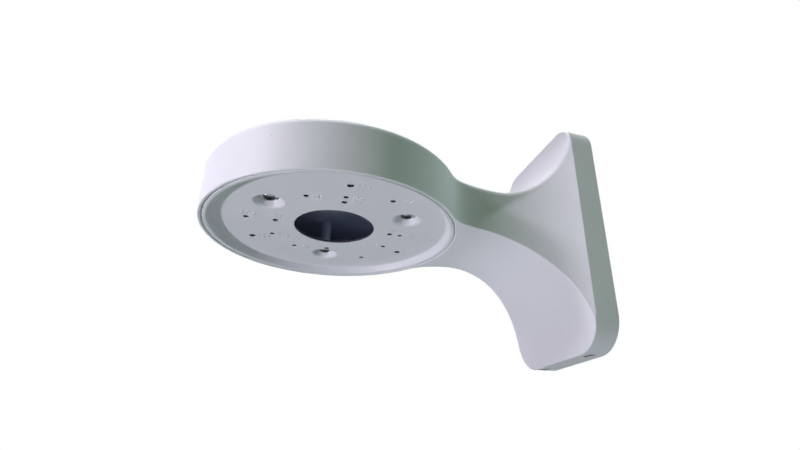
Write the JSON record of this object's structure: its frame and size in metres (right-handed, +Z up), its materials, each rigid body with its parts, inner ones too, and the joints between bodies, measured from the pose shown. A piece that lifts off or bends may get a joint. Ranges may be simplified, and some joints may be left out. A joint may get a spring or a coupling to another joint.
{
  "type": "camera wall bracket",
  "caption": "Hollow cast wall bracket: a rounded base and a waisted arm carry a round downward drum, closed by a perforated plate that takes a ceiling camera.",
  "frame": {"origin": "middle of the base's back face, which lies against the wall", "axes": "+Y into the wall, +Z up, X along the wall; the drum is at negative Y"},
  "size_m": [0.156, 0.246, 0.161],
  "materials": {
    "body_paint": "satin powder coat",
    "plate_paint": "satin powder coat",
    "screw_steel": "bright",
    "seal_rubber": "matte",
    "wall_zinc": "zinc plated"
  },
  "bodies": {
    "root": {"bracket_body": "body_paint", "adapter_plate": "plate_paint", "plate_screws": "screw_steel", "lock_screws": "screw_steel", "plate_seal": "seal_rubber", "wall_plate": "wall_zinc"}
  },
  "joints": []
}
